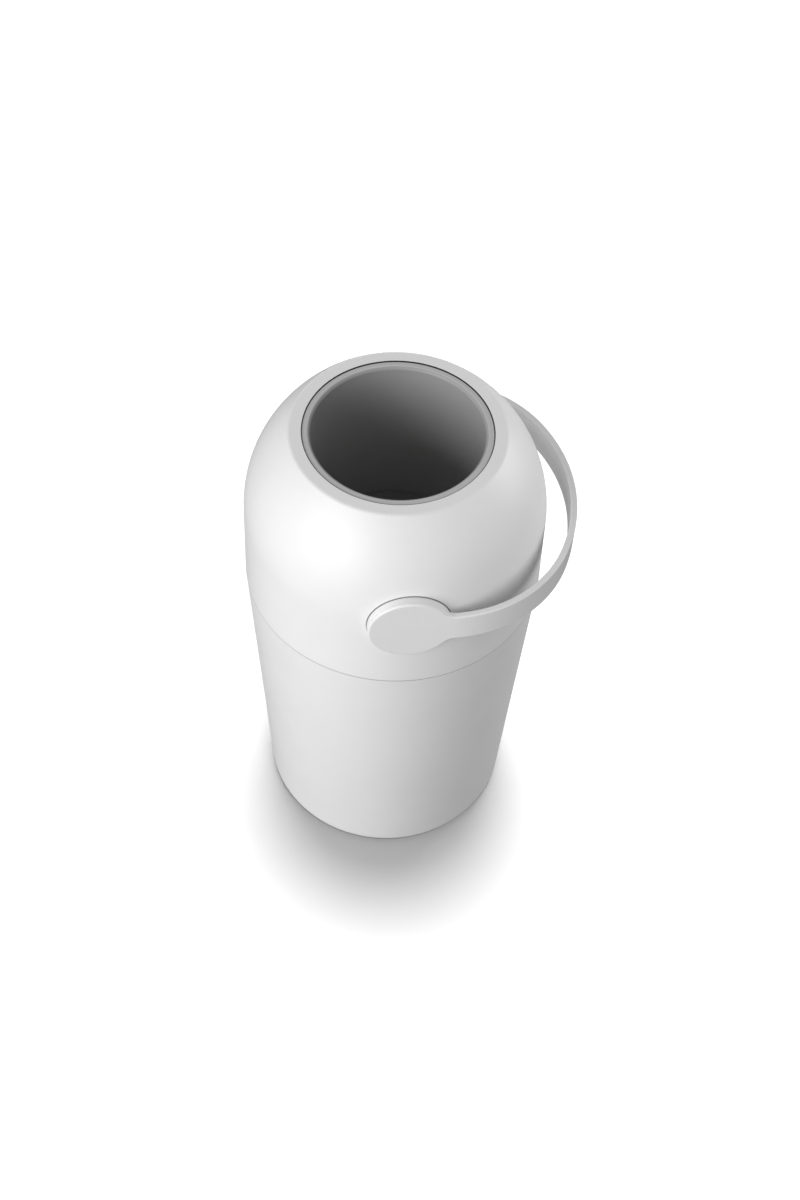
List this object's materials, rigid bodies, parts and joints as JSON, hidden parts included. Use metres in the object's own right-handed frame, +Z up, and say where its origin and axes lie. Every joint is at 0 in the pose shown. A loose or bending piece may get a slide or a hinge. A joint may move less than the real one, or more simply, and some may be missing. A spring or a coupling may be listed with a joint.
{
  "type": "nappy bin",
  "caption": "Round domed nappy bin with a ball-shaped drum, a weighted piston in its bore, and a strap handle that turns the drum half a turn.",
  "frame": {"origin": "middle of the base on the floor, at the underside of the rubber grip ring", "axes": "+Z up along the bin's axis, -Y towards the front hub disc, +X towards the handle's nose at rest"},
  "size_m": [0.3434, 0.3196, 0.58],
  "materials": {
    "white_plastic": "fine satin",
    "grey_plastic": "satin",
    "inner_plastic": "satin",
    "bearing_plastic": "smooth",
    "seal_rubber": "matte",
    "steel": "brushed"
  },
  "bodies": {
    "tub": {"tub_shell": "white_plastic", "base_grip_ring": "seal_rubber", "bag_ring": "inner_plastic"},
    "lid": {"dome_shell": "white_plastic", "mouth_seal": "seal_rubber", "mouth_seal_retainer": "inner_plastic", "drum_cradle": "inner_plastic", "cradle_screws": "steel", "skirt_seal": "seal_rubber", "chute_seal": "seal_rubber", "chute_ring": "inner_plastic", "bearing_bush_front": "bearing_plastic", "bearing_bush_rear": "bearing_plastic"},
    "drum": {"drum_upper_shell": "inner_plastic", "drum_lower_shell": "inner_plastic", "drum_screws": "steel", "bore_liner": "grey_plastic", "drum_rim_ring": "grey_plastic", "axle_front": "bearing_plastic", "axle_rear": "bearing_plastic", "axle_screws": "steel", "handle_bail": "white_plastic"},
    "piston": {"piston_body": "grey_plastic", "piston_upper_face": "grey_plastic", "piston_lower_face": "grey_plastic", "piston_weights": "steel", "piston_seals": "seal_rubber", "piston_screws": "steel"}
  },
  "joints": [
    {"name": "lid_lift", "type": "slide", "parent": "tub", "child": "lid", "axis": [0, 0, 1], "range_m": [0, 0.15]},
    {"name": "drum_turn", "type": "hinge", "parent": "lid", "child": "drum", "pos_m": [0, 0, 0.4675], "axis": [0, -1, 0], "range_deg": [0, 180]},
    {"name": "piston_slide", "type": "slide", "parent": "drum", "child": "piston", "axis": [0, 0, 1], "range_m": [0, 0.1855]}
  ]
}
